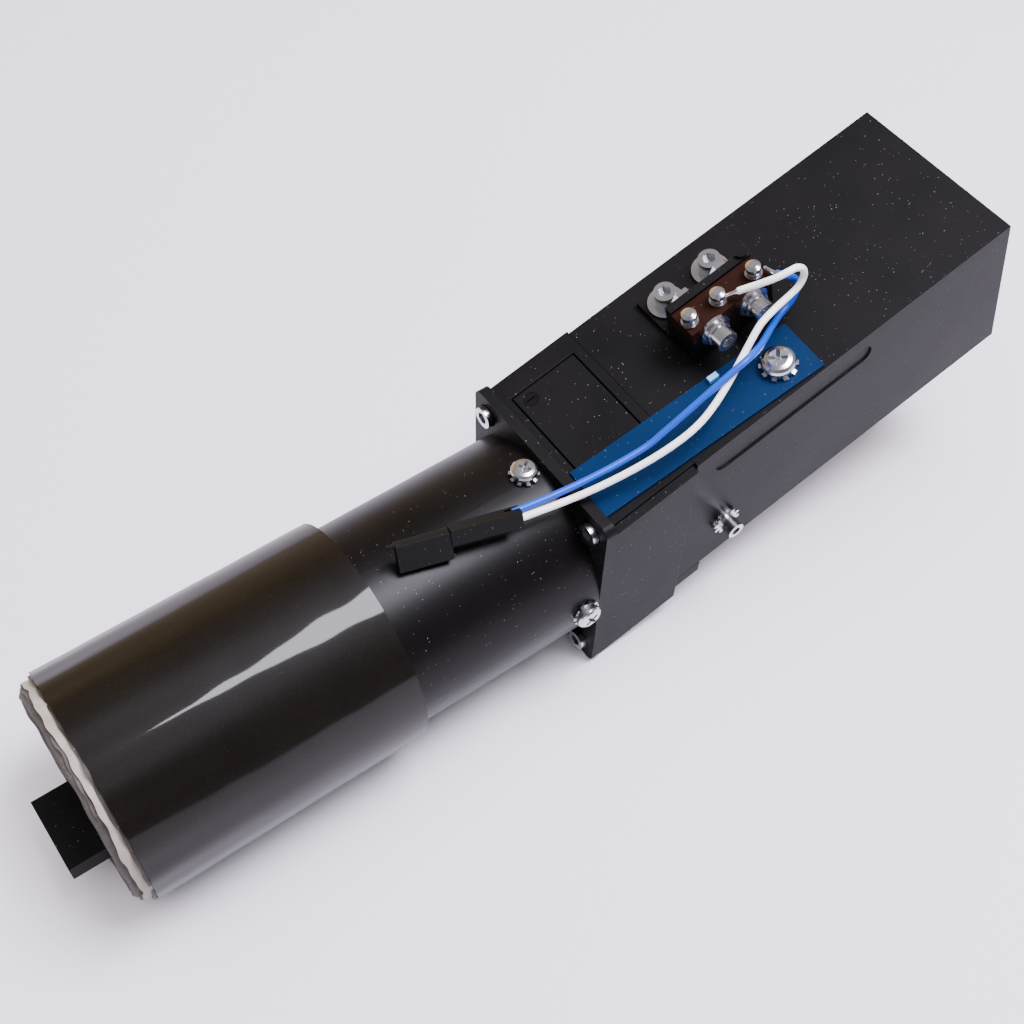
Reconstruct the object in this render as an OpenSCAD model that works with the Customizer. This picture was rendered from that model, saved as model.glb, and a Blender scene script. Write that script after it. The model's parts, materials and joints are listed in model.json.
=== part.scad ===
// Small geared roller shutter motor: a tube with a wrapped gear end on the left, and a pitched
// switch housing on the right. X runs along the tube, Z is up, Y points to the far side.
// The modules measure from where the tube's axis meets the front face of the flange plate.
// The finished pieces are then moved along X, so that the origin is the middle of the wrapping.

/* [Tube] */
// outside radius of the bare black tube
tube_r = 21.8; // [21.6:0.1:21.9]
// inside radius of the tube
tube_bore = 19.4;
// how far the tube reaches from the flange
tube_l = 99.5;
// where the wrapping begins, measured from the flange
wrap_start = 42.5;
// how far the wrapping reaches from the flange
wrap_end = 102.5;
// outside radius of the wrapping
wrap_r = 24; // [23:0.5:26]

/* [Flange plate] */
// width of the flange plate across Y
flange_w = 43.6;
// height of the flange plate
flange_h = 48.4;
// thickness of the flange plate
flange_t = 2.4; // [2:0.1:3]

/* [Housing] */
// angle by which the housing rises from the tube's axis
tilt = 15;
// height of the housing's top face above the axis at the flange
top_z = 21.4;
// width of the housing
box_w = 41.2;
// height of the housing
box_h = 39.5;
// where the housing ends, measured along its top
box_l = 103; // [100:1:110]
// thickness of the housing's walls
wall = 2.5;

/* [Gears] */
// gear module, the same in every stage
module_mm = 0.4;
// teeth of each small gear in the gearbox
pinion_teeth = 13;
// teeth of each large gear in the gearbox
wheel_teeth = 39;
// teeth of each small gear in the cam train
cam_pinion_teeth = 12;
// teeth of each large gear in the cam train
cam_wheel_teeth = 36;

/* [Hidden] */
$fn = 48;
collar_end = 22.4;       // back plane of the collar, along the tube's axis
collar_w = 42.6;        // the collar is a little wider than the housing
stage = module_mm * (pinion_teeth + wheel_teeth) / 2;             // 10.4 mm
cam_stage = module_mm * (cam_pinion_teeth + cam_wheel_teeth) / 2; // 9.6 mm
shaft_r = 1.5;          // motor shaft
pin_r = 1;              // fixed pins that the gears turn on
running = 0.05;         // radial clearance of every running fit
screw_y = 17.4;          // flange screws, from the axis
screw_z = 19.8;
radial_x = -3.6;        // plane of the tube's radial screws
tang_w = 16.4;          // drive tang
tang_t = 4.4;
tang_end = -111.4;

// switch on top of the housing, in the housing's own tilted frame
sw_x = 47.2;            // middle of the switch
sw_y = 0.2;
sw_l = 19.8;
sw_w = 6.4;
sw_z = 1.6;             // underside of the switch
sw_h = 9.1;
hole_x = [42.4, 51.9];  // its two mounting holes
hole_z = 7.9;
turret_x = [39.0, 46.0, 54.9];
foot_x = [41.7, 53.1];  // bracket screws
foot_y = 11.6;
plate_t = 0.8;
plate_screw_x = 48.6;
plate_screw_y = -14.4;
earth_x = 27;
earth_z = -28;

black = [0.06, 0.06, 0.065];
steel = [0.7, 0.7, 0.72];
blue = [0.02, 0.16, 0.36];
brown = [0.2, 0.09, 0.05];

// ---- helpers ----

// puts the middle of the wrapping at the origin
module placed() {
  translate([(wrap_start + wrap_end) / 2, 0, 0]) children();
}

// the housing's frame: its top face is z = 0 and x runs along it
module head() {
  translate([0, 0, top_z]) rotate([0, -tilt, 0]) children();
}

module along_x(from, to, r) {
  translate([from, 0, 0]) rotate([0, 90, 0]) cylinder(h = to - from, r = r);
}

module ring_x(from, to, r, bore) {
  difference() {
    along_x(from, to, r);
    along_x(from - 1, to + 1, bore);
  }
}

module slab(x0, x1, y0, y1, z0, z1) {
  translate([x0, y0, z0]) cube([x1 - x0, y1 - y0, z1 - z0]);
}

// everything behind a plane square to the tube's axis
module behind(x) {
  slab(x, 200, -60, 60, -90, 120);
}

// a hex socket head standing on z = 0, its shank going down
module cap_screw(head_r, head_h, shank_r, shank_l, key) {
  difference() {
    union() {
      cylinder(h = head_h, r = head_r);
      translate([0, 0, -shank_l]) cylinder(h = shank_l + 0.1, r = shank_r);
    }
    translate([0, 0, head_h * 0.45]) cylinder(h = head_h, r = key / sqrt(3), $fn = 6);
  }
}

// a pan head with a cross recess
module pan_screw(head_r, head_h, shank_r, shank_l) {
  dome = 0.45 * head_h;
  difference() {
    union() {
      rotate_extrude() polygon([[0, 0], [head_r, 0], [head_r, head_h - dome],
        [head_r * 0.93, head_h - dome * 0.55], [head_r * 0.78, head_h - dome * 0.2],
        [head_r * 0.55, head_h], [0, head_h]]);
      translate([0, 0, -shank_l]) cylinder(h = shank_l + 0.1, r = shank_r);
    }
    for (a = [0, 90]) rotate([0, 0, a]) translate([-head_r * 0.55, -head_r * 0.11, head_h * 0.4])
      cube([head_r * 1.1, head_r * 0.22, head_h]);
    translate([0, 0, head_h * 0.3]) cylinder(h = head_h, r = head_r * 0.2);
  }
}

module washer(r, bore, h) {
  difference() {
    cylinder(h = h, r = r);
    translate([0, 0, -1]) cylinder(h = h + 2, r = bore);
  }
}

// split lock washer: a ring with one slit
module lock_washer(r, bore, h) {
  difference() {
    washer(r, bore, h);
    translate([0, -0.2, -1]) cube([r + 1, 0.4, h + 2]);
  }
}

// external tooth washer: a ring with teeth around it
module star_washer(r, bore, h, teeth = 10) {
  difference() {
    union() {
      cylinder(h = h, r = r * 0.78);
      for (i = [0 : teeth - 1]) rotate([0, 0, i * 360 / teeth])
        translate([r * 0.6, -r * 0.13, 0]) cube([r * 0.4, r * 0.26, h]);
    }
    translate([0, 0, -1]) cylinder(h = h + 2, r = bore);
  }
}

// involute of the base circle rb at radius r, in degrees
function inv(rb, r) = r <= rb ? 0 : sqrt(r * r / (rb * rb) - 1) * 180 / PI - acos(rb / r);

// half the angle that a tooth fills at radius r, a little slim for backlash
function half_tooth(n, r) = let (rp = module_mm * n / 2, rb = rp * cos(20))
  88 / n + inv(rb, rp) - inv(rb, max(r, rb));

module gear_profile(n) {
  rp = module_mm * n / 2;
  r = [rp - 1.2 * module_mm, rp - 0.5 * module_mm, rp, rp + 0.5 * module_mm, rp + 0.9 * module_mm];
  polygon([for (i = [0 : n - 1], k = [0 : 9])
    let (j = k < 5 ? k : 9 - k, side = k < 5 ? -1 : 1, a = i * 360 / n + side * half_tooth(n, r[j]))
    [r[j] * cos(a), r[j] * sin(a)]]);
}

// a gear whose axis is X; phase turns it about that axis, with a tooth on +Z at phase 0
module gear_x(n, from, to, phase) {
  translate([from, 0, 0]) rotate([phase, 0, 0]) rotate([0, 90, 0]) rotate([0, 0, 180])
    linear_extrude(height = to - from) gear_profile(n);
}

// a cable swept through the points: eight sides, one ring at each point
function unit(v) = v / norm(v);
function ahead(p, i) = unit(p[min(i + 1, len(p) - 1)] - p[max(i - 1, 0)]);
function ring_at(p, i, r) = let (t = ahead(p, i), u = unit(cross(t, [0.3, 1, 0.2])), w = cross(t, u))
  [for (k = [0 : 7]) p[i] + r * (u * cos(45 * k) + w * sin(45 * k))];

module cable(p, r) {
  last = 8 * (len(p) - 1);
  polyhedron(
    points = [for (i = [0 : len(p) - 1]) each ring_at(p, i, r)],
    faces = concat(
      [[for (k = [0 : 7]) k]],
      [for (i = [0 : len(p) - 2], k = [0 : 7])
        let (a = 8 * i + k, b = 8 * i + (k + 1) % 8) [a, a + 8, b + 8, b]],
      [[for (k = [7 : -1 : 0]) last + k]]));
}

// ---- housing, collar and flange ----

module housing_outline() {
  head() slab(-40, box_l, -box_w / 2, box_w / 2, -box_h, 0);
}

module housing_hollow() {
  head() slab(-40, box_l - wall, wall - box_w / 2, box_w / 2 - wall, wall - box_h, -wall);
}

module rear_housing() color(black) difference() {
  intersection() {
    housing_outline();
    behind(collar_end);
  }
  housing_hollow();
  // long shallow recess on the near side
  head() for (x = [29.5, 64.5]) translate([x, -box_w / 2 + 0.4, -6]) rotate([90, 0, 0])
    cylinder(h = 1, r = 2.4);
  head() slab(29.5, 64.5, -box_w / 2 - 1, -box_w / 2 + 0.4, -8.4, -3.6);
  // plunger hole, bracket screw holes and plate screw hole
  head() translate([sw_x, sw_y, -wall - 1]) cylinder(h = 5, r = 2);
  head() for (x = foot_x) translate([x, foot_y, -wall - 1]) cylinder(h = 5, r = 1.42);
  head() translate([plate_screw_x, plate_screw_y, -wall - 1]) cylinder(h = 5, r = 1.75);
  // earth screw hole
  head() translate([earth_x, -box_w / 2 + wall + 1, earth_z]) rotate([90, 0, 0])
    cylinder(h = 5, r = 1.42);
  // four fixing holes in the closed end
  head() for (y = [-12, 12], z = [-32, -8]) translate([box_l - wall - 1, y, z])
    rotate([0, 90, 0]) cylinder(h = 5, r = 1.65);
}

module front_collar() color(black) difference() {
  intersection() {
    head() slab(-40, 60, -collar_w / 2, collar_w / 2, -44.5, 0);
    slab(flange_t, collar_end, -30, 30, -40, 60);
  }
  // through hollow, as wide as the housing's
  housing_hollow();
  // step along the near top edge
  head() slab(-10, 60, -collar_w / 2 - 1, -19.6, -0.8, 1);
  // recess for the cover
  head() slab(5, 21, -16.3, 16.3, -1.5, 1);
}

module collar_cover() color(black) difference() {
  head() slab(5.3, 20.7, -16, 16, -1.5, 0);
  head() for (y = [-13.5, 13.5]) translate([8, y, -1.2]) cylinder(h = 3, r = 1.6);
}

module cover_screws() color(black) head() for (y = [-13.5, 13.5])
  translate([8, y, -1.2]) difference() {
    cylinder(h = 1.1, r = 1.55);
    translate([-1, -0.2, 0.7]) cube([2, 0.4, 1]);
  }

module foot_strip() color(black) intersection() {
  head() slab(-10, 40, -box_w / 2, box_w / 2, -42.8, -box_h);
  slab(collar_end, 29.2, -30, 30, -60, 60);
}

module flange_plate() color(black) difference() {
  union() {
    slab(0, flange_t, -flange_w / 2 + 2, flange_w / 2 - 2, -flange_h / 2, flange_h / 2);
    slab(0, flange_t, -flange_w / 2, flange_w / 2, -flange_h / 2 + 2, flange_h / 2 - 2);
    for (y = [-1, 1], z = [-1, 1])
      translate([0, y * (flange_w / 2 - 2), z * (flange_h / 2 - 2)]) rotate([0, 90, 0])
        cylinder(h = flange_t, r = 2);
    ring_x(-9, 1, tube_bore, 16.5);
  }
  along_x(-10, 10, 14);
  for (y = [-screw_y, screw_y], z = [-screw_z, screw_z]) translate([-1, y, z]) rotate([0, 90, 0]) {
    cylinder(h = 6, r = 1.5);
    cylinder(h = 2.4, r = 2.5);
  }
  for (a = [0 : 90 : 270]) rotate([a, 0, 0]) translate([radial_x, 0, 10]) cylinder(h = 12, r = 1.42);
}

module flange_screws() color(steel) for (y = [-screw_y, screw_y], z = [-screw_z, screw_z])
  translate([1.4, y, z]) rotate([0, -90, 0]) cap_screw(2.3, 2.8, 1.42, 9, 2.4);

// ---- tube and wrapping ----

module motor_tube() color(black) difference() {
  ring_x(-tube_l, 0, tube_r, tube_bore);
  for (a = [0 : 90 : 270]) rotate([a, 0, 0]) translate([radial_x, 0, 10]) cylinder(h = 20, r = 1.5);
}

module tube_star_washers() color(steel) for (a = [0 : 90 : 270])
  rotate([a, 0, 0]) translate([radial_x, 0, tube_r]) star_washer(3.1, 1.5, 0.5);

module tube_screws() color(steel) for (a = [0 : 90 : 270])
  rotate([a, 0, 0]) translate([radial_x, 0, tube_r + 0.5]) rotate([0, 0, 35])
    pan_screw(2.75, 1.9, 1.42, 5);

module wrap_core() color([0.16, 0.13, 0.1]) ring_x(-100.5, -wrap_start, wrap_r - 0.4, tube_r);

module wrap_film() color([0.3, 0.24, 0.15, 0.7]) ring_x(-wrap_end, -wrap_start, wrap_r, wrap_r - 0.4);

// potting that closes the tube's end, with a thick rim round a flat middle
module end_disc() color([0.3, 0.29, 0.27]) difference() {
  along_x(-104.2, -tube_l, 21.7);
  along_x(-105, -100.6, 19);
  translate([0, 0, -stage]) along_x(-110, -90, 4);
}

// ---- motor inside the tube ----

module motor_can() color(steel) difference() {
  along_x(-64, -14, tube_bore);
  along_x(-62, -10, 17.6);
  along_x(-70, -60, 4);
}

module end_bell() color([0.1, 0.1, 0.11]) difference() {
  union() {
    along_x(-14, -11, tube_bore);
    along_x(-16, -14, 17.6);
  }
  along_x(-20, -10, 4);
}

module magnets() color([0.25, 0.25, 0.27]) for (s = [0, 180])
  rotate([s, 0, 0]) translate([-57, 0, 0]) rotate([0, 90, 0]) rotate([0, 0, -70])
    rotate_extrude(angle = 140) polygon([[13.8, 0], [17.6, 0], [17.6, 32], [13.8, 32]]);

module motor_bearings() color(steel) {
  ring_x(-64, -62, 4, shaft_r + running);
  ring_x(-16, -12, 4, shaft_r + running);
}

module brush_plate() color([0.35, 0.2, 0.1]) ring_x(-20.4, -19.4, 17.6, 6);

module brushes() color([0.12, 0.12, 0.12]) for (s = [-1, 1])
  translate([-23, s > 0 ? 5.4 : -10.3, -2]) cube([2.6, 4.9, 4]);

module motor_shaft() color(steel) along_x(-72, 33, shaft_r);

module armature_core() color([0.4, 0.4, 0.42]) difference() {
  along_x(-55, -31, 13.2);
  along_x(-60, -30, shaft_r);
  for (i = [0 : 7]) rotate([i * 45 + 22.5, 0, 0]) slab(-56, -30, -1.1, 1.1, 7, 14);
}

module armature_windings() color([0.6, 0.3, 0.12]) difference() {
  union() {
    for (i = [0 : 7]) rotate([i * 45 + 22.5, 0, 0]) slab(-57.5, -28.5, -1.1, 1.1, 7, 12);
    ring_x(-57.5, -55, 11, 4);
    ring_x(-31, -28.5, 11, 4);
  }
  along_x(-70, -20, 3.5);
}

module commutator() color([0.7, 0.4, 0.2]) difference() {
  along_x(-25, -18, 5);
  along_x(-30, -10, shaft_r);
  for (i = [0 : 7]) rotate([i * 45, 0, 0]) slab(-29, -10, -0.2, 0.2, 4.4, 6);
}

module motor_pinion() color([0.75, 0.6, 0.3]) difference() {
  gear_x(pinion_teeth, -71, -66, 0);
  along_x(-80, -60, shaft_r);
}

module cam_pinion() color([0.75, 0.6, 0.3]) difference() {
  gear_x(cam_pinion_teeth, 27, 32, 0);
  along_x(20, 40, shaft_r);
}

// ---- gearbox in the wrapped end ----

// a large gear and the small gear beside it, turning on a pin
module cluster(big, small, big_from, big_to, small_to, big_phase, small_phase) {
  first = min(big_from, small_to);
  last = max(big_to, small_to);
  difference() {
    union() {
      gear_x(big, big_from, big_to, big_phase);
      gear_x(small, min(big_from, small_to), max(big_to, small_to), small_phase);
    }
    along_x(first - 1, last + 1, pin_r + running);
  }
}

// the wheel above stands with a gap facing down, toward the pinion's tooth
module gear_a() color([0.75, 0.6, 0.3]) translate([0, 0, stage])
  cluster(wheel_teeth, pinion_teeth, -69.5, -67, -75.5, 180 / wheel_teeth + 180, 180);

module gear_b() color([0.75, 0.6, 0.3])
  cluster(wheel_teeth, pinion_teeth, -75, -73, -81.5, 180 / wheel_teeth, 180);

module output_gear() color([0.75, 0.6, 0.3]) translate([0, 0, -stage]) difference() {
  gear_x(wheel_teeth, -81, -78, 180 / wheel_teeth);
  along_x(-90, -70, 2.5);
}

module output_shaft() color(black) translate([0, 0, -stage]) union() {
  along_x(-97, -77, 2.5);
  along_x(-102.4, -97, 3.7);
  slab(tang_end, -102, -tang_w / 2, tang_w / 2, -tang_t / 2, tang_t / 2);
}

module gear_pins() color(steel) {
  translate([0, 0, stage]) along_x(-84, -64, pin_r);
  along_x(-84, -72.4, pin_r);
}

module output_plate() color([0.3, 0.3, 0.32]) difference() {
  along_x(-87, -84, tube_bore);
  translate([0, 0, -stage]) along_x(-95, -80, 4);
}

module output_bush() color([0.6, 0.45, 0.25]) translate([0, 0, -stage])
  ring_x(-87.5, -83.5, 4, 2.5 + running);

// ---- switch drive in the housing ----

module cross_plate(from, to) {
  intersection() {
    housing_hollow();
    slab(from, to, -30, 30, -60, 80);
  }
}

module front_cam_plate() color([0.3, 0.3, 0.32]) difference() {
  cross_plate(23, 25);
  along_x(20, 30, 3);
}

module rear_cam_plate() color([0.3, 0.3, 0.32]) difference() {
  cross_plate(54, 56);
  translate([0, 0, 2 * cam_stage]) along_x(50, 60, shaft_r + running);
}

module cam_pins() color(steel) translate([0, 0, cam_stage]) along_x(25, 41, pin_r);

module cam_gear() color([0.75, 0.6, 0.3]) translate([0, 0, cam_stage])
  cluster(cam_wheel_teeth, cam_pinion_teeth, 28, 30.5, 40, 180 / cam_wheel_teeth + 180, 0);

module cam_shaft() color(steel) translate([0, 0, 2 * cam_stage]) along_x(36, 57, shaft_r);

module cam_shaft_gear() color([0.75, 0.6, 0.3]) translate([0, 0, 2 * cam_stage]) difference() {
  gear_x(cam_wheel_teeth, 37, 39.5, 180 / cam_wheel_teeth + 180);
  along_x(30, 50, shaft_r);
}

module cam_wheel() color([0.85, 0.83, 0.78]) translate([0, 0, 2 * cam_stage]) difference() {
  union() {
    along_x(44, 48, 5.2);
    translate([44, 0, -1.2]) rotate([0, 90, 0]) cylinder(h = 4, r = 5.2);
  }
  along_x(40, 50, shaft_r);
}

// ---- blue plate, bracket and switch ----

// the plate hangs on one screw and sits slightly askew
module askew() {
  translate([plate_screw_x, plate_screw_y, 0]) rotate([0, 0, -2.6]) children();
}

module blue_plate() color(blue) head() askew() difference() {
  slab(-45.3, 6.9, -5.4, 6.9, 0, plate_t);
  translate([0, 0, -1]) cylinder(h = 4, r = 1.75);
}

module plate_tab() color([0.2, 0.5, 0.85]) head() askew() slab(-12.6, -10.4, 5.2, 6.4, plate_t, plate_t + 1);

module plate_star_washer() color(steel) head()
  translate([plate_screw_x, plate_screw_y, plate_t]) star_washer(3.9, 1.75, 0.6);

module plate_screw() color(steel) head() translate([plate_screw_x, plate_screw_y, plate_t + 0.6])
  rotate([0, 0, 50]) pan_screw(3.5, 2.4, 1.7, 6);

module switch_bracket() color(black) head() difference() {
  union() {
    slab(37.3, 57.1, sw_y + sw_w / 2, 16, 0, 1.4);
    slab(37.3, 57.1, sw_y + sw_w / 2, sw_y + sw_w / 2 + 1.8, 0, 11.4);
    translate([55.9, sw_y + sw_w / 2 + 1.2, 11.4]) cylinder(h = 0.8, r = 1.2);
  }
  for (x = foot_x) translate([x, foot_y, -1]) cylinder(h = 4, r = 1.5);
  for (x = hole_x) translate([x, 0, hole_z]) rotate([-90, 0, 0]) cylinder(h = 10, r = 1.1);
}

module bracket_washers() color(steel) head() for (x = foot_x)
  translate([x, foot_y, 1.4]) washer(3.9, 1.5, 0.7);

module bracket_lock_washers() color(steel) head() for (x = foot_x)
  translate([x, foot_y, 2.1]) rotate([0, 0, 60]) lock_washer(2.6, 1.5, 0.8);

module bracket_screws() color(steel) head() for (x = foot_x)
  translate([x, foot_y, 2.9]) cap_screw(2.3, 2.8, 1.42, 8.5, 2.4);

module switch_case() color([0.09, 0.07, 0.06]) head() difference() {
  slab(sw_x - sw_l / 2, sw_x + sw_l / 2, sw_y - sw_w / 2, sw_y + sw_w / 2, sw_z, sw_z + sw_h - 2.4);
  slab(sw_x - 8, sw_x + 8, sw_y - 2, sw_y + 2, sw_z + 1, sw_z + sw_h - 2.4);
  translate([sw_x, sw_y, 0]) cylinder(h = 4, r = 1.05 + running);
  for (x = hole_x) translate([x, -10, hole_z]) rotate([-90, 0, 0]) cylinder(h = 20, r = 1.1);
}

module switch_base() color(brown) head() difference() {
  slab(sw_x - sw_l / 2, sw_x + sw_l / 2, sw_y - sw_w / 2, sw_y + sw_w / 2,
    sw_z + sw_h - 2.4, sw_z + sw_h);
  for (x = turret_x) translate([x, -0.3, 5]) cylinder(h = 10, r = 0.9);
  for (x = hole_x) translate([x, -10, hole_z]) rotate([-90, 0, 0]) cylinder(h = 20, r = 1.1);
}

module switch_terminals() color(steel) head() for (x = turret_x)
  translate([x, -0.3, sw_z + sw_h - 2.4]) rotate_extrude()
    polygon([[0, 0], [0.85, 0], [0.85, 2.4], [1.75, 2.4], [1.75, 3], [0.9, 3],
      [0.9, 4.2], [1.5, 4.2], [1.5, 5.2], [0.8, 5.6], [0, 5.6]]);

module switch_plunger() color([0.8, 0.75, 0.6]) head() translate([sw_x, sw_y, 0]) union() {
  translate([0, 0, -4.5]) cylinder(h = 7.9, r = 1.05);
  translate([0, 0, 2.65]) cylinder(h = 1.1, r = 1.8);
}

module switch_screws() color(steel) head() for (x = hole_x)
  translate([x, sw_y - sw_w / 2 - 1.7, hole_z]) rotate([90, 15, 0])
    cap_screw(2.3, 2.6, 1.05, 12.4, 2.4);

module switch_washers() color(steel) head() for (x = hole_x)
  translate([x, sw_y - sw_w / 2, hole_z]) rotate([90, 0, 0]) {
    washer(3.4, 1.1, 0.7);
    translate([0, 0, 0.7]) lock_washer(2.7, 1.1, 1);
  }

module switch_nuts() color(steel) head() for (x = hole_x)
  translate([x, sw_y + sw_w / 2 + 3.6, hole_z]) rotate([90, 0, 0]) difference() {
    cylinder(h = 1.8, r = 2.5, $fn = 6);
    translate([0, 0, -1]) cylinder(h = 4, r = 1.1);
  }

module earth_washers() color(steel) head() for (i = [0 : 1])
  translate([earth_x, -box_w / 2 - 0.62 * i, earth_z]) rotate([90, 20 * i, 0]) star_washer(3.3, 1.5, 0.6);

module earth_screw() color(steel) head()
  translate([earth_x, -box_w / 2 - 1.22, earth_z]) rotate([90, 0, 0]) cap_screw(1.9, 3, 1.42, 6, 1.9);

// ---- wires and connector ----

wire_r = 0.72;

// a bend round an axis across the head, of a given centre, radius and angles, which
// drifts from one y to another on the way
function bend(x, z, r, a0, a1, y0, y1, n) = [for (i = [0 : n]) let (a = a0 + (a1 - a0) * i / n)
  [x + r * cos(a), y0 + (y1 - y0) * i / n, z + r * sin(a)]];

// the points between two places on a smooth run, with the heading at each place
function run(a, leaving, b, arriving, n) = [for (i = [1 : n - 1]) let (t = i / n, s = 1 - t)
  a * (s * s * (1 + 2 * t)) + leaving * (t * s * s)
  + b * (t * t * (3 - 2 * t)) - arriving * (t * t * s)];

// white wire: from the middle turret up and out to the rear, down round a bend, over the
// plate at its crest, out to its widest beside the tube, in again and up to the connector
white_turret = [47.3, -1.1, 12];
white_bend = bend(58, 12.3, 3.4, 90, -90, -7.2, -7.7, 6);
white_crest = [48, -10, 10.5];
white_widest = [25, -17, 6.5];
white_lowest = [4, -13.5, 5];
white_socket = [-11.5, -10.2, 8.1];
white_route = concat([white_turret], run(white_turret, [9, -6, 5], white_bend[0], [9, -0.5, 0], 4),
  white_bend, run(white_bend[6], [-9, -1, 0], white_crest, [-9, -2, -2], 4),
  [white_crest], run(white_crest, [-20, -5, -9], white_widest, [-22, 0, -2], 6),
  [white_widest], run(white_widest, [-20, 0, -2], white_lowest, [-20, 5, 0], 5),
  [white_lowest], run(white_lowest, [-15, 4, 0], white_socket, [-15, 3, 4], 4), [white_socket]);

// blue wire: from the far turret round a bend under the white one, over the white wire at
// its crest, low along the tube and up to the connector
blue_turret = [56.9, -1.2, 12];
blue_bend = bend(57, 7.4, 4, 40, -90, -5.4, -6.6, 5);
blue_crest = [41, -14, 10.2];
blue_lowest = [18, -12.7, 4.2];
blue_socket = [-11, -8.9, 8.7];
blue_route = concat([blue_turret], run(blue_turret, [0, -6, 0], blue_bend[0], [4, -1, -5], 3),
  blue_bend, run(blue_bend[5], [-18, -4, 0], blue_crest, [-18, -2, 3], 6),
  [blue_crest], run(blue_crest, [-20, 0, -2], blue_lowest, [-22, 1, -4], 6),
  [blue_lowest], run(blue_lowest, [-28, 2, 0], blue_socket, [-28, 5, 7], 7), [blue_socket]);

module white_wire() color([0.92, 0.92, 0.9]) head() cable(white_route, wire_r);

module blue_wire() color([0.1, 0.45, 0.85]) head() cable(blue_route, wire_r);

// the connector leans against the top of the tube
module at_connector() {
  translate([-11.5, -9.65, 27.4]) rotate([0, 0, 163.7]) rotate([22.6, 0, 0]) children();
}

module socket_half() color(black) at_connector() difference() {
  slab(0, 14, -1.4, 1.4, -2.9, 0.4);
  for (s = [-1, 1]) translate([-1, 0.5 * s, -0.9 - 0.6 * s]) rotate([0, 90, 0])
    cylinder(h = 4, r = 0.74);
}

module plug_half() color(black) at_connector() union() {
  slab(14, 24.6, -1.1, 1.1, -5.9, 0);
  slab(24.6, 26, -0.5, 0.5, -0.6, 0);
}

placed() rear_housing();
placed() front_collar();
placed() collar_cover();
placed() cover_screws();
placed() foot_strip();
placed() flange_plate();
placed() flange_screws();
placed() motor_tube();
placed() tube_screws();
placed() tube_star_washers();
placed() wrap_core();
placed() wrap_film();
placed() end_disc();
placed() motor_can();
placed() end_bell();
placed() magnets();
placed() motor_bearings();
placed() brush_plate();
placed() brushes();
placed() motor_shaft();
placed() armature_core();
placed() armature_windings();
placed() commutator();
placed() motor_pinion();
placed() cam_pinion();
placed() gear_a();
placed() gear_b();
placed() output_gear();
placed() output_shaft();
placed() gear_pins();
placed() output_plate();
placed() output_bush();
placed() front_cam_plate();
placed() rear_cam_plate();
placed() cam_pins();
placed() cam_gear();
placed() cam_shaft();
placed() cam_shaft_gear();
placed() cam_wheel();
placed() blue_plate();
placed() plate_tab();
placed() plate_star_washer();
placed() plate_screw();
placed() switch_bracket();
placed() bracket_washers();
placed() bracket_lock_washers();
placed() bracket_screws();
placed() switch_case();
placed() switch_base();
placed() switch_terminals();
placed() switch_plunger();
placed() switch_screws();
placed() switch_washers();
placed() switch_nuts();
placed() earth_washers();
placed() earth_screw();
placed() white_wire();
placed() blue_wire();
placed() socket_half();
placed() plug_half();
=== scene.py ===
# %% [markdown]
# A small roller shutter motor: a black tube with a wrapped gear end, a flange plate, and a
# box that rises at an angle and carries a snap switch, its wires and a blue plate. What is
# left for Blender is the look: rounded edges, the film, the cords and every finish.

# %% Load the CAD pieces
import json
import math
import random

import bpy
from mathutils import Matrix, Vector
from mathutils.geometry import interpolate_bezier

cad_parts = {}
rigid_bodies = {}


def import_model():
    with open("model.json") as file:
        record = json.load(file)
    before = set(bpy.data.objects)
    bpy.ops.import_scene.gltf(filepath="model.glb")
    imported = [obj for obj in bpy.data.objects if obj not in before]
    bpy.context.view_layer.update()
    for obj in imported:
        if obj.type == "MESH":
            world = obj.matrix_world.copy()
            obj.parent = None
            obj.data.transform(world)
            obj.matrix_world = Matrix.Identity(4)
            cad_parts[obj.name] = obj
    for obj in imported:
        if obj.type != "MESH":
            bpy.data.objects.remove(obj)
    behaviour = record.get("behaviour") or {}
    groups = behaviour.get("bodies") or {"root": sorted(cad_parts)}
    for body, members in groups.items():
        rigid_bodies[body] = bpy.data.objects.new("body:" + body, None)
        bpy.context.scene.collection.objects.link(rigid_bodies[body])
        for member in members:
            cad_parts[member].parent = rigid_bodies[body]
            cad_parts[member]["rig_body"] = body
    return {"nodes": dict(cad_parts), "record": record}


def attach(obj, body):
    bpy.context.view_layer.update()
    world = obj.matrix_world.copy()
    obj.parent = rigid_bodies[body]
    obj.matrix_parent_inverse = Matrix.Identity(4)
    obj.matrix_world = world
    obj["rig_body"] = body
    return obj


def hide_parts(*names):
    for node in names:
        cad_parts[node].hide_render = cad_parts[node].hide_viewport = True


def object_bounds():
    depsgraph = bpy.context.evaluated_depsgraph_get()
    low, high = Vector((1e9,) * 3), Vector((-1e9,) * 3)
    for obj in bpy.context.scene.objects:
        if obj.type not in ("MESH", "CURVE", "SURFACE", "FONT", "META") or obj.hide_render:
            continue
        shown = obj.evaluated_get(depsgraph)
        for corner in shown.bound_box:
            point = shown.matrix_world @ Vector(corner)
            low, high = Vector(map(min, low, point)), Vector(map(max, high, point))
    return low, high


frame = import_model()
cad_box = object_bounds()
print("CAD box in mm:", [round(v * 1000, 1) for corner in cad_box for v in corner])
MM = 0.001
D = bpy.data

# %% [markdown]
# The camera comes first, because cords are judged by what it sees. It stands close to the
# object with a normal lens, so that the near corner of the box looks larger than the tube.

# %% Camera
LENS_MM = 51.4
CAMERA_AT = Vector((-34.6, -133.8, 250.6)) * MM
LOOK = Vector((0.3453, 0.4579, -0.8192))
RIGHT = Vector((0.8142, -0.5802, 0.0189))

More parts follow.
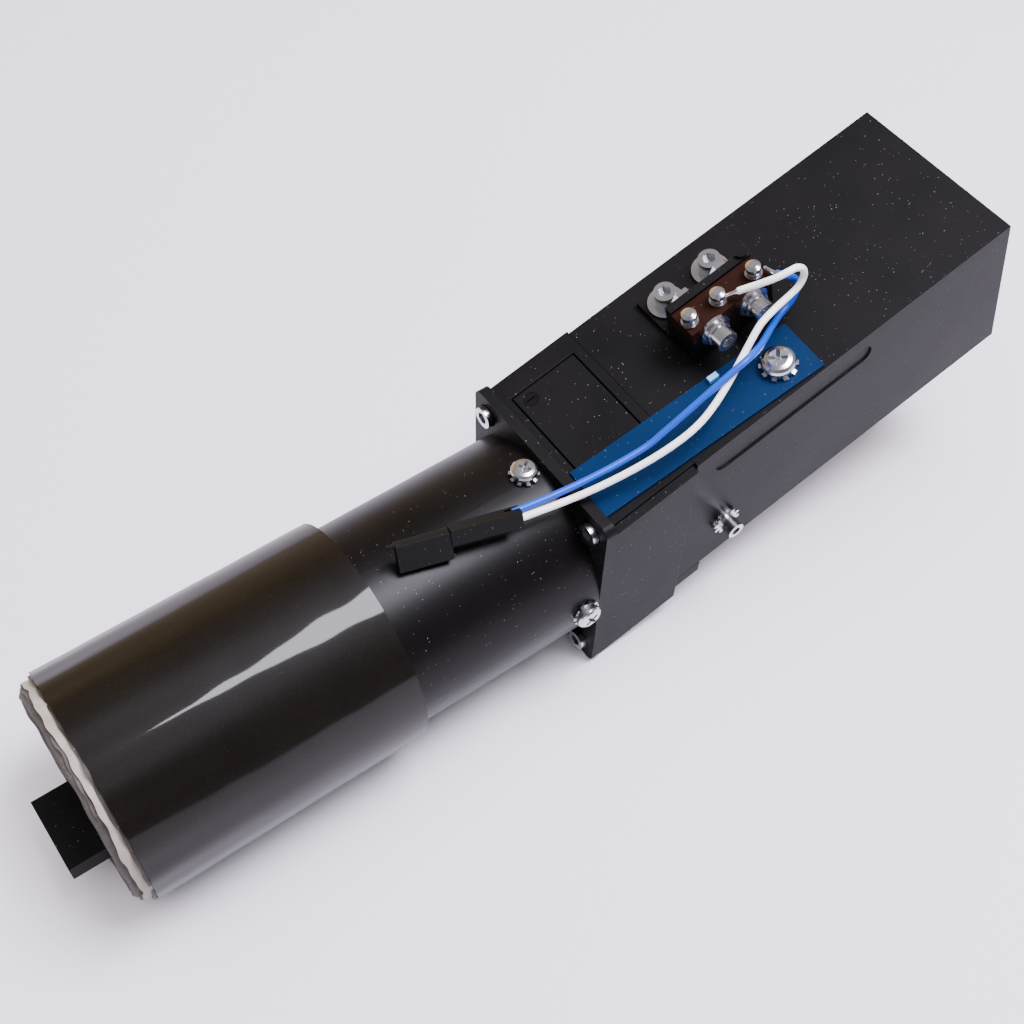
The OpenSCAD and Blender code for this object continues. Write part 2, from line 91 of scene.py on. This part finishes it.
bpy.ops.object.camera_add()
camera = bpy.context.object
camera.data.lens = LENS_MM
camera.data.sensor_width = 36
side = (RIGHT - LOOK * RIGHT.dot(LOOK) / LOOK.length_squared).normalized()
back = -LOOK.normalized()
up = back.cross(side)
turn = Matrix((side, up, back)).transposed()
camera.matrix_world = Matrix.Translation(CAMERA_AT) @ turn.to_4x4()
camera.data.clip_start = 0.01
camera.data.clip_end = 20
bpy.context.scene.camera = camera

# %% [markdown]
# The box, the switch and the wires share a frame that is tilted about Y. A small function
# turns its coordinates, in millimetres, into places in the shared frame.

# %% The tilted frame of the housing
TILT = math.radians(15)
FLANGE_X = 72.5      # front face of the flange plate
TOP_Z = 21.4         # the housing's top above the tube's axis, at the flange
UP_SLOPE = Vector((math.cos(TILT), 0, math.sin(TILT)))
OFF_TOP = Vector((-math.sin(TILT), 0, math.cos(TILT)))


def on_top(x, y, z):
    """A place in the tilted frame, in the shared frame and in metres."""
    return (Vector((FLANGE_X, y, TOP_Z)) + UP_SLOPE * x + OFF_TOP * z) * MM


# %% [markdown]
# Each wire is a curve of one open spline with a round bevel. The curve passes through the
# same points as the CAD route, so that the cord and its collision tube lie together.

# %% The two wires
WIRE_R = 0.72


def bend(x, z, radius, start, end, y_start, y_end, steps):
    """Places on a bend round an axis across the head, which drifts from one y to another."""
    places = []
    for i in range(steps + 1):
        angle = math.radians(start + (end - start) * i / steps)
        places.append(Vector((x + radius * math.cos(angle), y_start + (y_end - y_start) * i / steps,
                              z + radius * math.sin(angle))))
    return places


def run(a, leaving, b, arriving, steps):
    """The places between two others on a smooth run, with the heading at each of the two."""
    places = []
    for i in range(1, steps):
        t, s = i / steps, 1 - i / steps
        places.append(a * (s * s * (1 + 2 * t)) + Vector(leaving) * (t * s * s)
                      + b * (t * t * (3 - 2 * t)) - Vector(arriving) * (t * t * s))
    return places


turret, crest, widest = Vector((47.3, -1.1, 12)), Vector((48, -10, 10.5)), Vector((25, -17, 6.5))
lowest, socket = Vector((4, -13.5, 5)), Vector((-11.5, -10.2, 8.1))
loop = bend(58, 12.3, 3.4, 90, -90, -7.2, -7.7, 6)
WHITE_ROUTE = ([turret] + run(turret, (9, -6, 5), loop[0], (9, -0.5, 0), 4)
               + loop + run(loop[-1], (-9, -1, 0), crest, (-9, -2, -2), 4)
               + [crest] + run(crest, (-20, -5, -9), widest, (-22, 0, -2), 6)
               + [widest] + run(widest, (-20, 0, -2), lowest, (-20, 5, 0), 5)
               + [lowest] + run(lowest, (-15, 4, 0), socket, (-15, 3, 4), 4) + [socket])

turret, crest = Vector((56.9, -1.2, 12)), Vector((41, -14, 10.2))
lowest, socket = Vector((18, -12.7, 4.2)), Vector((-11, -8.9, 8.7))
loop = bend(57, 7.4, 4, 40, -90, -5.4, -6.6, 5)
BLUE_ROUTE = ([turret] + run(turret, (0, -6, 0), loop[0], (4, -1, -5), 3)
              + loop + run(loop[-1], (-18, -4, 0), crest, (-18, -2, 3), 6)
              + [crest] + run(crest, (-20, 0, -2), lowest, (-22, 1, -4), 6)
              + [lowest] + run(lowest, (-28, 2, 0), socket, (-28, 5, 7), 7) + [socket])


def select_only(piece):
    """Deselects all, then makes one object selected and active."""
    bpy.ops.object.select_all(action="DESELECT")
    piece.hide_viewport = False
    piece.select_set(True)
    bpy.context.view_layer.objects.active = piece


def wire(name, route):
    """A round wire along one smooth curve through the route, and the points it follows."""
    places = [on_top(*place) for place in route]
    curve = D.curves.new(name, "CURVE")
    curve.dimensions = "3D"
    curve.bevel_depth = WIRE_R * MM
    curve.bevel_resolution = 4
    curve.resolution_u = 6
    curve.use_fill_caps = True
    spline = curve.splines.new("BEZIER")
    spline.bezier_points.add(len(route) - 1)
    for i, point in enumerate(spline.bezier_points):
        before, after = places[max(i - 1, 0)], places[min(i + 1, len(places) - 1)]
        point.handle_left_type = point.handle_right_type = "FREE"
        point.co = places[i]
        point.handle_left = places[i] - (after - before) / 6
        point.handle_right = places[i] + (after - before) / 6
    line = []
    for a, b in zip(spline.bezier_points, spline.bezier_points[1:]):
        line += interpolate_bezier(a.co, a.handle_right, b.handle_left, b.co, 4)[:-1]
    line.append(places[-1])
    piece = D.objects.new(name, curve)
    bpy.context.collection.objects.link(piece)
    select_only(piece)
    bpy.ops.object.convert(target="MESH")
    piece = bpy.context.object
    bpy.ops.object.shade_smooth_by_angle(angle=math.radians(50))
    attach(piece, "frame")
    return piece, line


white_cord, white_line = wire("white_cord", WHITE_ROUTE)
blue_cord, blue_line = wire("blue_cord", BLUE_ROUTE)
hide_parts("white_wire")
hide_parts("blue_wire")

# %% [markdown]
# The finishes share a few effects: dust that has settled as small specks, hairline scratches,
# a slow change of tone and a fine grain. Each is a shader node group that gives out a mask
# or a value, so that every material can use it with its own strength.

# %% Shared effects as node groups


def new_effect(name, inputs):
    """An empty group with a Vector input, the named float inputs and one Mask output."""
    group = D.node_groups.new(name, "ShaderNodeTree")
    group.interface.new_socket("Vector", in_out="INPUT", socket_type="NodeSocketVector")
    for label, value in inputs.items():
        socket = group.interface.new_socket(label, in_out="INPUT", socket_type="NodeSocketFloat")
        socket.default_value = value
    group.interface.new_socket("Mask", in_out="OUTPUT", socket_type="NodeSocketFloat")
    return group, group.nodes.new("NodeGroupInput"), group.nodes.new("NodeGroupOutput")


def add(tree, kind, **settings):
    """A new node with its settings."""
    node = tree.nodes.new(kind)
    for key, value in settings.items():
        setattr(node, key, value)
    return node


def math_node(tree, operation, a, b=None):
    """A Math node; a and b are numbers or sockets."""
    node = add(tree, "ShaderNodeMath", operation=operation)
    for socket, value in zip(node.inputs, (a, b)):
        if value is None:
            continue
        if isinstance(value, bpy.types.NodeSocket):
            tree.links.new(value, socket)
        else:
            socket.default_value = value
    return node.outputs[0]


def dust_effect():
    """Small round specks: cells whose centre is near, kept only where a noise is high."""
    group, entry, leave = new_effect("settled dust", {"Scale": 900, "Amount": 0.5})
    cells = add(group, "ShaderNodeTexVoronoi")
    group.links.new(entry.outputs["Vector"], cells.inputs["Vector"])
    group.links.new(entry.outputs["Scale"], cells.inputs["Scale"])
    dot = math_node(group, "LESS_THAN", cells.outputs["Distance"], 0.16)
    shade = add(group, "ShaderNodeSeparateColor")
    group.links.new(cells.outputs["Color"], shade.inputs[0])
    chosen = math_node(group, "LESS_THAN", shade.outputs[0],
                       math_node(group, "MULTIPLY", entry.outputs["Amount"], 0.3))
    strength = math_node(group, "MULTIPLY", dot, shade.outputs[1])
    group.links.new(math_node(group, "MULTIPLY", strength, chosen), leave.inputs["Mask"])
    return group


def tone_effect():
    """Slow clouds, from 0 to 1."""
    group, entry, leave = new_effect("slow change of tone", {"Scale": 60})
    cloud = add(group, "ShaderNodeTexNoise")
    cloud.inputs["Detail"].default_value = 3
    group.links.new(entry.outputs["Vector"], cloud.inputs["Vector"])
    group.links.new(entry.outputs["Scale"], cloud.inputs["Scale"])
    group.links.new(cloud.outputs["Fac"], leave.inputs["Mask"])
    return group


def scratch_effect():
    """Hairlines: a noise drawn out along one direction and cut to its thin crests."""
    group, entry, leave = new_effect("hairline scratches", {"Scale": 40, "Amount": 0.5})
    stretch = add(group, "ShaderNodeMapping")
    stretch.inputs["Rotation"].default_value = (0.2, 0.5, 0.6)
    stretch.inputs["Scale"].default_value = (1, 22, 22)
    group.links.new(entry.outputs["Vector"], stretch.inputs["Vector"])
    streak = add(group, "ShaderNodeTexNoise")
    streak.inputs["Detail"].default_value = 2
    group.links.new(stretch.outputs[0], streak.inputs["Vector"])
    group.links.new(entry.outputs["Scale"], streak.inputs["Scale"])
    level = math_node(group, "SUBTRACT", 0.80, math_node(group, "MULTIPLY",
                      entry.outputs["Amount"], 0.14))
    crest = math_node(group, "GREATER_THAN", streak.outputs["Fac"], level)
    group.links.new(math_node(group, "MULTIPLY", crest, streak.outputs["Fac"]),
                    leave.inputs["Mask"])
    return group


def grain_effect():
    """Fine grain for a bump: blasting, moulding or sintering."""
    group, entry, leave = new_effect("fine grain", {"Scale": 2500, "Stretch": 1})
    spread = add(group, "ShaderNodeCombineXYZ")
    spread.inputs[1].default_value = 1
    spread.inputs[2].default_value = 1
    group.links.new(entry.outputs["Stretch"], spread.inputs[0])
    scaled = add(group, "ShaderNodeVectorMath", operation="MULTIPLY")
    group.links.new(entry.outputs["Vector"], scaled.inputs[0])
    group.links.new(spread.outputs[0], scaled.inputs[1])
    noise = add(group, "ShaderNodeTexNoise")
    noise.inputs["Detail"].default_value = 2
    group.links.new(scaled.outputs[0], noise.inputs["Vector"])
    group.links.new(entry.outputs["Scale"], noise.inputs["Scale"])
    group.links.new(noise.outputs["Fac"], leave.inputs["Mask"])
    return group


DUST, TONE, SCRATCH, GRAIN = dust_effect(), tone_effect(), scratch_effect(), grain_effect()

# %% [markdown]
# A finish is a Principled shader. Its colour runs between two tones, then takes scratches
# and dust on top. Its grain goes to a Bump node. Numbers that are the same all over the
# surface are set on the shader itself.

# %% How a finish is put together


def place_effect(tree, group, vector, **values):
    """A group node, fed with the object's coordinates, and its mask."""
    node = add(tree, "ShaderNodeGroup", node_tree=group)
    tree.links.new(vector, node.inputs["Vector"])
    for label, value in values.items():
        node.inputs[label].default_value = value
    return node.outputs["Mask"]


def blend_colour(tree, mask, below, above):
    """A Mix node for colours; below is a socket or a colour."""
    mix = add(tree, "ShaderNodeMix", data_type="RGBA")
    tree.links.new(mask, mix.inputs[0])
    for socket, value in ((mix.inputs[6], below), (mix.inputs[7], above)):
        if isinstance(value, bpy.types.NodeSocket):
            tree.links.new(value, socket)
        else:
            socket.default_value = (*value, 1)
    return mix.outputs[2]


GRAIN_DEPTH = 0.01


def finish(name, dark, light, rough, rough_change=0.1, metallic=0.0, coat=0.0, coat_rough=0.1,
           dust=0.0, dust_colour=(0.3, 0.29, 0.28), dust_scale=2400, scratch=0.0,
           scratch_colour=(0.2, 0.2, 0.2), grain=0.0, grain_scale=2500, grain_stretch=1.0,
           tone_scale=60, specular=0.5):
    """A material from two tones of one colour and the shared effects."""
    material = D.materials.new(name)
    material.use_nodes = True
    tree = material.node_tree
    shader = tree.nodes["Principled BSDF"]
    where = add(tree, "ShaderNodeTexCoord").outputs["Object"]
    tone = place_effect(tree, TONE, where, Scale=tone_scale)
    colour = blend_colour(tree, tone, dark, light)
    if scratch:
        lines = place_effect(tree, SCRATCH, where, Scale=45, Amount=scratch)
        colour = blend_colour(tree, lines, colour, scratch_colour)
    if dust:
        specks = place_effect(tree, DUST, where, Scale=dust_scale, Amount=dust)
        colour = blend_colour(tree, specks, colour, dust_colour)
    tree.links.new(colour, shader.inputs["Base Color"])
    spread = add(tree, "ShaderNodeMapRange")
    spread.inputs[3].default_value = rough - rough_change / 2
    spread.inputs[4].default_value = rough + rough_change / 2
    tree.links.new(tone, spread.inputs[0])
    tree.links.new(spread.outputs[0], shader.inputs["Roughness"])
    shader.inputs["Metallic"].default_value = metallic
    shader.inputs["Coat Weight"].default_value = coat
    shader.inputs["Coat Roughness"].default_value = coat_rough
    shader.inputs["Specular IOR Level"].default_value = specular
    if grain:
        height = place_effect(tree, GRAIN, where, Scale=grain_scale, Stretch=grain_stretch)
        bump = add(tree, "ShaderNodeBump")
        bump.inputs["Strength"].default_value = grain
        bump.inputs["Distance"].default_value = GRAIN_DEPTH * MM
        tree.links.new(height, bump.inputs["Height"])
        tree.links.new(bump.outputs[0], shader.inputs["Normal"])
    return material


# %% The finishes of this motor
FINISH = {
    "black_anodised": finish("black_anodised", (0.0018, 0.0018, 0.0022), (0.0065, 0.006, 0.0062),
                             0.46, specular=0.08, dust=0.3, scratch=0.15,
                             scratch_colour=(0.03,) * 3, grain=0.5),
    "tube_black": finish("tube_black", (0.0015, 0.0012, 0.0012), (0.004, 0.0034, 0.0034), 0.36,
                         specular=0.14, dust=0.2, grain=0.3),
    "bright_steel": finish("bright_steel", (0.5, 0.5, 0.52), (0.72, 0.72, 0.74), 0.22,
                           metallic=1, scratch=0.3, scratch_colour=(0.3, 0.3, 0.3)),
    "machined_steel": finish("machined_steel", (0.42, 0.42, 0.43), (0.56, 0.56, 0.57), 0.34,
                             metallic=1, grain=0.3, grain_stretch=0.1),
    "grey_disc": finish("grey_disc", (0.03, 0.026, 0.022), (0.08, 0.07, 0.06), 0.8,
                        dust=1.6, grain=0.6, tone_scale=900),
    "blue_anodised": finish("blue_anodised", (0.0, 0.009, 0.036), (0.0, 0.016, 0.056), 0.42,
                            specular=0.08, dust=0.25, grain=0.3, grain_stretch=0.05),
    "light_blue": finish("light_blue", (0.08, 0.32, 0.7), (0.14, 0.42, 0.8), 0.5, grain=0.2),
    "brown_phenolic": finish("brown_phenolic", (0.007, 0.002, 0.001), (0.018, 0.005, 0.0025), 0.5,
                             specular=0.06, dust=0.3, grain=0.5, tone_scale=400),
    "black_plastic": finish("black_plastic", (0.0018, 0.0018, 0.002), (0.005, 0.005, 0.005), 0.4,
                            specular=0.12, dust=0.3, grain=0.4),
    "white_insulation": finish("white_insulation", (0.78, 0.78, 0.77), (0.87, 0.87, 0.86), 0.4,
                               dust=0.1, dust_colour=(0.3, 0.28, 0.26), grain=0.2),
    "blue_insulation": finish("blue_insulation", (0.0, 0.040, 0.34), (0.001, 0.062, 0.46), 0.4,
                              specular=0.35, grain=0.2),
    "gear_brass": finish("gear_brass", (0.5, 0.32, 0.1), (0.66, 0.46, 0.18), 0.3, metallic=1,
                         grain=0.2),
    "copper": finish("copper", (0.42, 0.15, 0.05), (0.6, 0.24, 0.1), 0.35, metallic=1, grain=0.4,
                     grain_stretch=0.1),
    "ferrite": finish("ferrite", (0.05, 0.05, 0.052), (0.09, 0.09, 0.095), 0.7, grain=0.6),
    "carbon": finish("carbon", (0.02, 0.02, 0.02), (0.04, 0.04, 0.04), 0.75, grain=0.6),
    "cream_plastic": finish("cream_plastic", (0.62, 0.56, 0.42), (0.72, 0.66, 0.52), 0.45,
                            grain=0.2),
    "cast_alloy": finish("cast_alloy", (0.32, 0.32, 0.34), (0.46, 0.46, 0.48), 0.45, metallic=1,
                         grain=0.5),
    "speckled_core": finish("speckled_core", (0.012, 0.009, 0.006), (0.03, 0.022, 0.014), 0.6,
                            dust=1.5, grain=0.5),
    "pale_liner": finish("pale_liner", (0.17, 0.145, 0.115), (0.36, 0.33, 0.28), 0.6, dust=1.2,
                         dust_colour=(0.15, 0.12, 0.09), grain=0.5, tone_scale=300),
    "smoked_film": finish("smoked_film", (0.0015, 0.001, 0.0006), (0.004, 0.0028, 0.0016), 0.5,
                          specular=0.1, coat=0.4, coat_rough=0.06, dust=1.4, dust_scale=4200,
                          dust_colour=(0.06, 0.048, 0.032)),
}
slot_of = {row["node"]: row["material_slot"] for row in frame["record"]["subparts"]}
for name, node in frame["nodes"].items():
    for holder in node.material_slots:
        holder.material = FINISH[slot_of[name]]
    if not node.material_slots:
        node.data.materials.append(FINISH[slot_of[name]])

# %% [markdown]
# A cord's jacket stops a little short of its turret, and the bare end is thinner.

# %% Bare tinned ends of the cords
BARE_MM = 2.6           # stripped and tinned at the switch
BARE_SHARE = 0.55       # the bare end's radius, as a share of the jacket's
for piece, line, jacket in ((white_cord, white_line, "white_insulation"),
                            (blue_cord, blue_line, "blue_insulation")):
    piece.data.materials.append(FINISH[jacket])
    piece.data.materials.append(FINISH["bright_steel"])
    for vertex in piece.data.vertices:
        if (vertex.co - line[0]).length < (BARE_MM + 0.5) * MM:
            core = min(line, key=lambda place: (place - vertex.co).length)
            if (core - line[0]).length < BARE_MM * MM:
                vertex.co = core + (vertex.co - core) * BARE_SHARE
    for face in piece.data.polygons:
        face.material_index = int((face.center - line[0]).length < BARE_MM * MM)

# %% [markdown]
# Machined edges are never knife sharp: a narrow bevel catches a thin line of light. A CAD
# node may not be changed, so a piece with visible edges is copied, its triangles are merged
# into flat faces, and the copy gets the bevel and stands in for the node.


def soften(node_name, width_mm, segments=2, smooth_angle=35):
    """A copy of a CAD node with narrow round edges, which replaces it."""
    node = frame["nodes"][node_name]
    piece = D.objects.new(node_name + "_softened", node.data.copy())
    bpy.context.collection.objects.link(piece)
    select_only(piece)
    bpy.ops.object.mode_set(mode="EDIT")
    bpy.ops.mesh.select_all(action="SELECT")
    bpy.ops.mesh.remove_doubles(threshold=0.000002)
    bpy.ops.mesh.dissolve_limited(angle_limit=math.radians(1))
    bpy.ops.object.mode_set(mode="OBJECT")
    bevel = piece.modifiers.new("soft edges", "BEVEL")
    bevel.width = width_mm * MM
    bevel.segments = segments
    bevel.limit_method = "ANGLE"
    bevel.angle_limit = math.radians(40)
    bevel.harden_normals = False
    bpy.ops.object.modifier_apply(modifier=bevel.name)
    bpy.ops.object.shade_smooth_by_angle(angle=math.radians(smooth_angle))
    even = piece.modifiers.new("even normals", "WEIGHTED_NORMAL")
    even.keep_sharp = True
    bpy.ops.object.modifier_apply(modifier=even.name)
    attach(piece, node["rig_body"])
    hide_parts(node_name)
    return piece


EDGES_MM = {"rear_housing": 0.22, "front_collar": 0.2, "flange_plate": 0.2, "collar_cover": 0.15,
            "foot_strip": 0.15, "blue_plate": 0.1, "switch_bracket": 0.15, "output_shaft": 0.2,
            "switch_base": 0.15, "switch_case": 0.15, "socket_half": 0.15, "plug_half": 0.12,
            "motor_tube": 0.2}
for name, width in EDGES_MM.items():
    soften(name, width)

# %% [markdown]
# The wrapped end is layered. A smoked film is rolled round a dark core and overlaps itself
# along one seam. At the drive end the film and the liner under it were cut by hand and have
# crumpled. A flat sheet that is rolled up point by point gives control over that edge, so a
# grid is added with the usual operator and its points are then moved in code.

# %% Rolled sheets round the barrel
DRIVE_END = -30.0       # where the CAD wrapping ends
FLANGE_END = 30.0
SEAM_DEG = 139.5        # measured from the far side, over the top
SOFT_WAVE_MM = 0.05     # slight unevenness all over a sheet


def ripple(angle, waves, seed):
    """A repeatable uneven edge, roughly from -1 to 1: a few sines of different length."""
    chance = random.Random(seed)
    total = 0.0
    for k in waves:
        total += math.sin(k * angle + chance.uniform(0, 6.28)) * chance.uniform(0.5, 1)
    return total / len(waves)


def rolled_sheet(name, radius, end_reach, edge_mm, pinch_mm, seed, slot, turn_deg=360,
                 start_deg=0.0, thick=0.12, from_x=FLANGE_END, lift=0.0, look=None):
    """A sheet rolled about X. It reaches end_reach past the drive end, with an edge that
    wanders by edge_mm and leans in and out by pinch_mm over its last few millimetres."""
    along, around = 48, 240     # faces of the grid each way
    bpy.ops.object.select_all(action="DESELECT")
    bpy.ops.mesh.primitive_grid_add(x_subdivisions=along, y_subdivisions=around, size=1)
    piece = bpy.context.object
    piece.name = name
    for vertex in piece.data.vertices:
        s, t = vertex.co.x + 0.5, vertex.co.y + 0.5
        angle = math.radians(start_deg + turn_deg * t)
        edge = edge_mm * ripple(angle, (2, 5, 9, 17, 31), seed)
        end_x = DRIVE_END - end_reach + edge
        to_go = max(0.0, 1 - s)
        x = end_x + (from_x - end_x) * (1 - to_go ** 1.8)
        crumple = ripple(angle, (4, 7, 13, 23), seed + 1) * to_go ** 3.2 * pinch_mm
        soft_wave = SOFT_WAVE_MM * ripple(angle + x * 0.12, (2, 3, 5), seed + 2)
        r = radius + crumple + soft_wave + lift * t
        vertex.co = Vector((x, r * math.cos(angle), r * math.sin(angle))) * MM
    bpy.ops.object.mode_set(mode="EDIT")
    bpy.ops.mesh.select_all(action="SELECT")
    if turn_deg == 360 and lift == 0:
        bpy.ops.mesh.remove_doubles(threshold=0.00001)
    bpy.ops.mesh.normals_make_consistent(inside=False)
    bpy.ops.object.mode_set(mode="OBJECT")
    wall = piece.modifiers.new("thickness", "SOLIDIFY")
    wall.thickness = thick * MM
    wall.offset = -1
    bpy.ops.object.modifier_apply(modifier=wall.name)
    bpy.ops.object.shade_smooth_by_angle(angle=math.radians(50))
    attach(piece, "frame")
    piece.data.materials.append(FINISH[look or slot])
    return piece


film = rolled_sheet("smoked_film_roll", 23.86, -2.0, 0.35, 0.3, 11, "smoked_film",
                    turn_deg=374, start_deg=SEAM_DEG, thick=0.1, lift=0.1)
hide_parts("wrap_film")
SHORT_FROM = -22        # the inner sheets are only made where they show
rolled_sheet("dark_under_sheet", 23.4, -1.4, 0.5, 0.5, 23, "speckled_core", thick=0.15,
             from_x=SHORT_FROM)
rolled_sheet("pale_liner", 22.9, 0.1, 0.8, 0.8, 37, "grey_disc", thick=0.3, from_x=SHORT_FROM,
             look="pale_liner")
rolled_sheet("inner_liner", 22.2, 0.5, 0.7, 0.7, 41, "grey_disc", thick=0.3,
             from_x=SHORT_FROM)

# %% [markdown]
# Under the sheets a lump of potting closes the tube. It is a flat disc with a thick rim, made
# like a turned piece: a ring of points is extruded and scaled step by step, and its rim is
# then disturbed a little, because it was pressed in by hand.

# %% The closing disc with its thick rim
RIM_PROFILE = [(21.9, -27.2), (22.0, -29.4), (21.6, -30.9), (20.8, -31.5), (19.9, -31.3),
               (19.3, -30.2), (19.1, -28.6), (12.0, -28.3), (4.2, -28.2)]


def turned(name, profile, steps, body, slot):
    """A surface of revolution about X from (radius, x) pairs in millimetres."""
    bpy.ops.object.select_all(action="DESELECT")
    bpy.ops.mesh.primitive_circle_add(vertices=steps, radius=profile[0][0] * MM,
                                      location=(profile[0][1] * MM, 0, 0),
                                      rotation=(0, math.pi / 2, 0))
    piece = bpy.context.object
    piece.name = name
    bpy.ops.object.transform_apply(location=True, rotation=True, scale=True)
    bpy.ops.object.mode_set(mode="EDIT")
    bpy.ops.mesh.select_all(action="SELECT")
    for (r0, x0), (r1, x1) in zip(profile, profile[1:]):
        bpy.ops.mesh.extrude_region_move(
            TRANSFORM_OT_translate={"value": ((x1 - x0) * MM, 0, 0)})
        bpy.ops.transform.resize(value=(1, r1 / r0, r1 / r0), center_override=(x1 * MM, 0, 0))
    bpy.ops.mesh.select_all(action="SELECT")
    bpy.ops.mesh.normals_make_consistent(inside=False)
    bpy.ops.object.mode_set(mode="OBJECT")
    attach(piece, body)
    piece.data.materials.append(FINISH[slot])
    return piece


RIM_INNER_R = 18.9      # the part outside this radius is uneven
RIM_UNEVEN_MM = 0.35
rim = turned("end_disc_rim", RIM_PROFILE, 160, "frame", "grey_disc")
for vertex in rim.data.vertices:
    if math.hypot(vertex.co.y, vertex.co.z) / MM > RIM_INNER_R:
        angle = math.atan2(vertex.co.z, vertex.co.y)
        vertex.co.x += RIM_UNEVEN_MM * ripple(angle, (3, 7, 11, 19), 5) * MM
select_only(rim)
bpy.ops.object.shade_smooth_by_angle(angle=math.radians(60))
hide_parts("end_disc")

# %% [markdown]
# Both cords go into the socket half of the connector, which is joined to the plug half. The
# whole of each wire can be seen.

# %% [markdown]
# The floor is a plain pale sheet just under the lowest point, and the light is soft: one
# panel overhead, which also draws the clear streak on the film, and a wide fill high up,
# which doesn't show in reflections.

# %% Floor and light
FLOOR_GAP = 0.2
floor_z = cad_box[0].z - FLOOR_GAP * MM
bpy.ops.mesh.primitive_plane_add(size=6, location=(0, 0, floor_z))
floor = bpy.context.object
floor.name = "floor"
floor_paint = finish("floor paint", (0.66, 0.63, 0.68), (0.70, 0.67, 0.72), 0.6, tone_scale=3)
floor.data.materials.append(floor_paint)


def panel(name, at, toward, size, watts, colour=(1, 1, 1)):
    """A rectangular lamp at a place, facing another."""
    bpy.ops.object.light_add(type="AREA", location=at)
    lamp = bpy.context.object
    lamp.name = name
    lamp.data.shape = "RECTANGLE"
    lamp.data.size, lamp.data.size_y = size
    lamp.data.energy = watts
    lamp.data.color = colour
    lamp.rotation_mode = "QUATERNION"
    lamp.rotation_quaternion = (Vector(toward) - Vector(at)).to_track_quat("-Z", "Y")
    return lamp


overhead = panel("overhead", (0.42, -0.18, 1.0), (0.42, -0.18, 0), (0.52, 0.52), 34,
                 (0.90, 0.87, 1.0))
overhead.rotation_quaternion = Matrix.Rotation(math.radians(45), 3, "Z").to_quaternion()
fill = panel("soft fill", (-0.3, -0.1, 2.2), (0, 0, 0), (2.6, 2.6), 100, (0.96, 0.94, 1.0))
fill.visible_glossy = False

# %% [markdown]
# What a glossy black thing shows is mostly the room. The room is dark on the near side, grey
# overhead and warm on the far side: the world's own direction picks between them.

# %% The room
world = D.worlds.new("soft room")
bpy.context.scene.world = world
world.use_nodes = True
room = world.node_tree
direction = add(room, "ShaderNodeTexCoord").outputs["Generated"]
parts = add(room, "ShaderNodeSeparateXYZ")
room.links.new(direction, parts.inputs[0])
walls = add(room, "ShaderNodeValToRGB")
ROOM_TONES = [(0.0, (0.05, 0.05, 0.06)), (0.5, (0.36, 0.35, 0.40)), (0.74, (0.42, 0.40, 0.42)),
              (0.87, (0.50, 0.37, 0.20)), (1.0, (1.1, 0.78, 0.38))]
while len(walls.color_ramp.elements) < len(ROOM_TONES):
    walls.color_ramp.elements.new(0.5)
for element, (place, colour) in zip(walls.color_ramp.elements, ROOM_TONES):
    element.position = place
    element.color = (*colour, 1)
toward_far = add(room, "ShaderNodeMapRange")
toward_far.inputs[1].default_value = -1
room.links.new(parts.outputs[1], toward_far.inputs[0])
room.links.new(toward_far.outputs[0], walls.inputs[0])
room.links.new(walls.outputs[0], room.nodes["Background"].inputs[0])
room.nodes["Background"].inputs[1].default_value = 1.0
